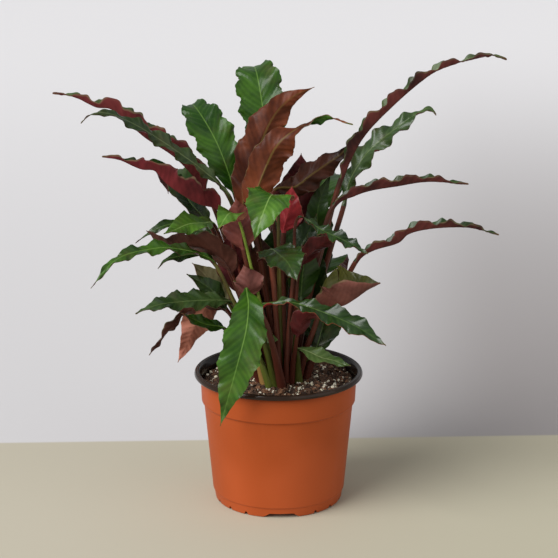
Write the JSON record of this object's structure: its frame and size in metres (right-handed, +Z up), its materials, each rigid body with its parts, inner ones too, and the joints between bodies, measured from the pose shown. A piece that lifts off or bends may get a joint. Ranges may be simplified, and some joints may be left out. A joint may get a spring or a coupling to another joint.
{
  "type": "potted calathea",
  "caption": "Bushy prayer plant with long wavy lance leaves, glossy green above and burgundy below, on slender dark red stalks in a tapered terracotta-coloured plastic nursery pot.",
  "frame": {"origin": "on the plane the pot's foot stands on, below the middle of the whole plant, which is also the pot's axis", "axes": "+Z up along the pot's axis, +Y towards the back of the plant, +X to the right as seen from the front"},
  "size_m": [0.4202, 0.2413, 0.4444],
  "materials": {
    "pot": "satin thermoformed plastic, terracotta outside, dark grey-brown inside and on the lip",
    "potting_mix": "loose dark peat and bark crumbs with pale perlite grains",
    "leaf": "glossy green above, velvety burgundy below, dark red stalks"
  },
  "bodies": {
    "root": {"pot": "pot", "potting_mix": "potting_mix", "leaf_far_left_high": "leaf", "leaf_left_high": "leaf", "leaf_left_upper": "leaf", "leaf_left_folded": "leaf", "leaf_left_lobe": "leaf", "leaf_left_thread": "leaf", "leaf_left_inner_small": "leaf", "leaf_left_brown": "leaf", "leaf_left_long": "leaf", "leaf_left_wavy_small": "leaf", "leaf_left_grey": "leaf", "leaf_left_hook": "leaf", "leaf_hanging_back_left": "leaf", "leaf_left_low_broad": "leaf", "leaf_left_low_small": "leaf", "leaf_hanging_left": "leaf", "leaf_front_hanging": "leaf", "leaf_front_curled": "leaf", "leaf_front_left_light": "leaf", "leaf_inner_pink": "leaf", "leaf_front_bright": "leaf", "leaf_inner_red": "leaf", "leaf_front_middle": "leaf", "leaf_right_inner_under": "leaf", "leaf_right_wavy": "leaf", "leaf_right_narrow": "leaf", "leaf_right_low_arch": "leaf", "leaf_far_right_high": "leaf", "leaf_right_burgundy": "leaf", "leaf_crown_burgundy": "leaf", "leaf_crown_turned": "leaf", "leaf_crown_broad": "leaf", "leaf_crown_left": "leaf", "leaf_right_high": "leaf", "leaf_right_upright": "leaf", "leaf_right_dark": "leaf", "leaf_right_trough": "leaf", "leaf_front_right_long": "leaf", "leaf_front_right_small": "leaf", "leaf_low_right": "leaf", "leaf_front_drop": "leaf", "leaf_inner_dark": "leaf", "leaf_right_inner_dark": "leaf", "leaf_right_inner_narrow": "leaf", "leaf_back_left_high": "leaf", "leaf_back_middle": "leaf", "leaf_back_right_high": "leaf", "leaf_back_right_low": "leaf", "leaf_back_left_low": "leaf", "leaf_back_low_middle": "leaf", "leaf_inner_left_dark": "leaf", "leaf_inner_middle_dark": "leaf", "leaf_inner_right_low": "leaf", "leaf_back_crown_dark": "leaf"}
  },
  "joints": []
}
